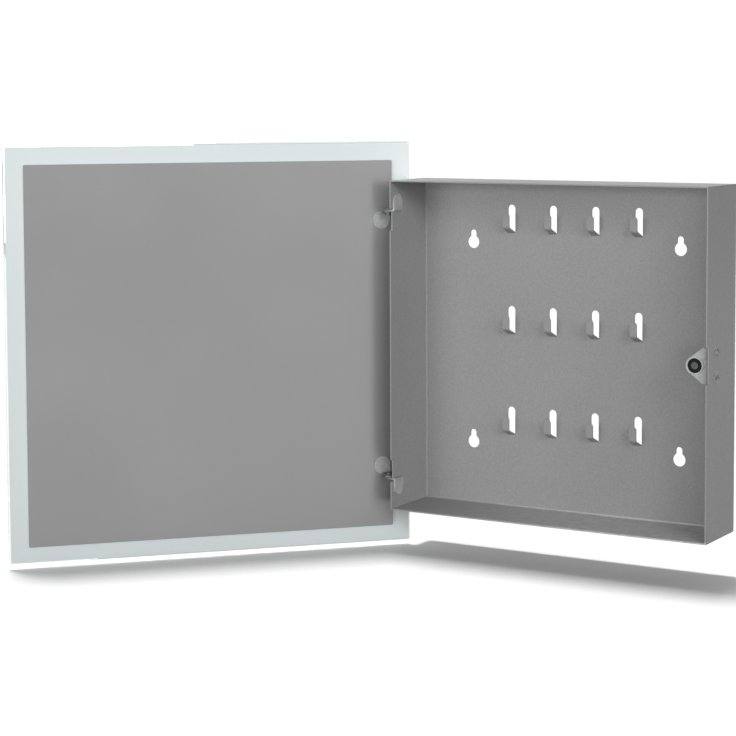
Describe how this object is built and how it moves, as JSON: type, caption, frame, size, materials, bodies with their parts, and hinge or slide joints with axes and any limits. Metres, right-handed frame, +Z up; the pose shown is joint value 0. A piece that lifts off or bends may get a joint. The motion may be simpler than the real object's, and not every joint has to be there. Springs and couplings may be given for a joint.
{
  "type": "wall key box",
  "caption": "Shallow folded steel wall tray with key hooks pressed from its back and a square glass door on riveted hinges, held shut by a magnet.",
  "frame": {"origin": "middle of the flat back of the tray, on the wall", "axes": "+Z up, +Y into the wall, so the door side faces -Y; +X to the right seen from the front"},
  "size_m": [0.4566, 0.2415, 0.3],
  "materials": {
    "tray_paint": "satin grey powder coat",
    "zinc_plate": "dull zinc plating",
    "black_plastic": "moulded, matt",
    "magnet_metal": "nickel plated, dull",
    "white_plastic": "moulded, satin",
    "pin_steel": "turned, zinc plated",
    "clear_glass": "clear float glass, polished edges",
    "film_colour": "pale colour film, satin back",
    "plate_paint": "satin grey powder coat",
    "tape_foam": "foam tape"
  },
  "bodies": {
    "tray": {"case": "tray_paint", "catch_bracket": "zinc_plate", "magnet_sleeve": "black_plastic", "magnet": "magnet_metal", "upper_case_bracket": "zinc_plate", "lower_case_bracket": "zinc_plate", "upper_washer": "white_plastic", "lower_washer": "white_plastic", "upper_pin": "pin_steel", "lower_pin": "pin_steel"},
    "door": {"glass": "clear_glass", "colour_film": "film_colour", "back_plate": "plate_paint", "tape_top": "tape_foam", "tape_bottom": "tape_foam", "tape_hinge_side": "tape_foam", "tape_free_side": "tape_foam", "upper_door_bracket": "zinc_plate", "lower_door_bracket": "zinc_plate"}
  },
  "joints": [
    {"name": "door_hinge", "type": "hinge", "parent": "tray", "child": "door", "pos_m": [-0.1303, -0.0448, 0], "axis": [0, 0, -1], "range_deg": [-133, 3]}
  ]
}
